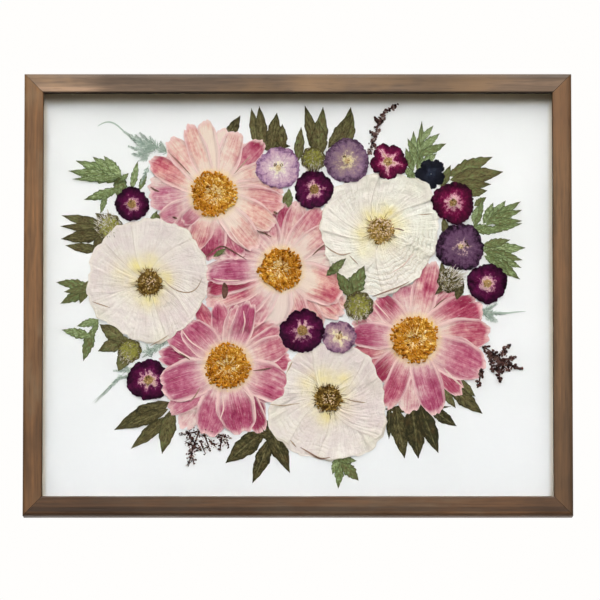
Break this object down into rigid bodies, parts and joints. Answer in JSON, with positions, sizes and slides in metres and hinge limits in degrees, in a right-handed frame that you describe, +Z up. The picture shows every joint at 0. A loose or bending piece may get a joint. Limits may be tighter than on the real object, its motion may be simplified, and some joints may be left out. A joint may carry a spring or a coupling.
{
  "type": "pressed flower frame",
  "caption": "Shallow wooden box frame with real pressed flowers, leaves and seed heads on a white board under glass, with a sawtooth hanger on the back.",
  "frame": {"origin": "where the middle notch of the sawtooth hanger bears on its nail, in the plane of the rails' backs, 11 mm below the frame's top edge", "axes": "+X to the right as seen from the front, +Y from the glass towards the wall, +Z up"},
  "size_m": [0.5332, 0.0333, 0.4317],
  "materials": {
    "walnut": "dark walnut stain with visible streaky grain, satin",
    "clear_glass": "clear polished sheet",
    "white_board": "matt white mount board",
    "grey_board": "matt brown-grey backing board",
    "steel_points": "thin zinc-grey steel",
    "hanger_metal": "brassed steel strip",
    "pink_petals": "dry matt petals, pink to deep rose with pale veins, golden stamens",
    "white_petals": "dry matt petals, ivory with a pink tinge, dark stamens",
    "purple_petals": "dry matt petals, near-black maroon with a pale eye",
    "violet_petals": "dry matt petals, lilac to grey-violet",
    "green_leaves": "dry matt leaves, mid green with dark blotches",
    "olive_leaves": "dry matt leaves, dark olive",
    "pale_fern": "dry matt fronds, pale grey-green",
    "dark_sprigs": "dry matt stems and buds, near-black brown",
    "seed_heads": "dry matt pods, yellow-green with tufts"
  },
  "bodies": {
    "root": {"top_rail": "walnut", "bottom_rail": "walnut", "left_rail": "walnut", "right_rail": "walnut", "glass": "clear_glass", "spacer": "white_board", "mount_board": "white_board", "backing_board": "grey_board", "point_bottom_1": "steel_points", "point_bottom_2": "steel_points", "point_left": "steel_points", "point_top_1": "steel_points", "point_top_2": "steel_points", "point_right": "steel_points", "hanger": "hanger_metal", "pink_flower_top": "pink_petals", "pink_flower_middle": "pink_petals", "pink_flower_low": "pink_petals", "pink_flower_right": "pink_petals", "white_flower_left": "white_petals", "white_flower_top": "white_petals", "white_flower_bottom": "white_petals", "purple_flower_left": "purple_petals", "purple_flower_top": "purple_petals", "purple_flower_upper": "purple_petals", "purple_flower_right_upper": "purple_petals", "purple_flower_right": "purple_petals", "purple_flower_middle": "purple_petals", "purple_flower_low_left": "purple_petals", "black_flower": "purple_petals", "lilac_flower_top": "violet_petals", "violet_flower_top": "violet_petals", "violet_flower_right": "violet_petals", "lilac_flower_small": "violet_petals", "leaf_left_top": "green_leaves", "leaf_left_mid": "green_leaves", "leaf_left_low": "green_leaves", "leaf_bottom_small": "green_leaves", "leaf_right_green": "green_leaves", "leaf_right_low_green": "green_leaves", "leaf_top_right": "green_leaves", "leaf_bottom_left": "olive_leaves", "leaf_bottom": "olive_leaves", "leaf_bottom_right": "olive_leaves", "leaf_right_low": "olive_leaves", "leaf_right_upper": "olive_leaves", "leaf_top_single": "olive_leaves", "leaf_top_left": "olive_leaves", "leaf_top_mid": "olive_leaves", "fern_top_left": "pale_fern", "fern_bottom_left": "pale_fern", "fern_right": "pale_fern", "sprig_top": "dark_sprigs", "sprig_right": "dark_sprigs", "sprig_bottom_left": "dark_sprigs", "seed_head_left": "seed_heads", "seed_head_low_left": "seed_heads", "seed_head_top": "seed_heads", "seed_head_middle": "seed_heads", "seed_head_right": "seed_heads"}
  },
  "joints": []
}
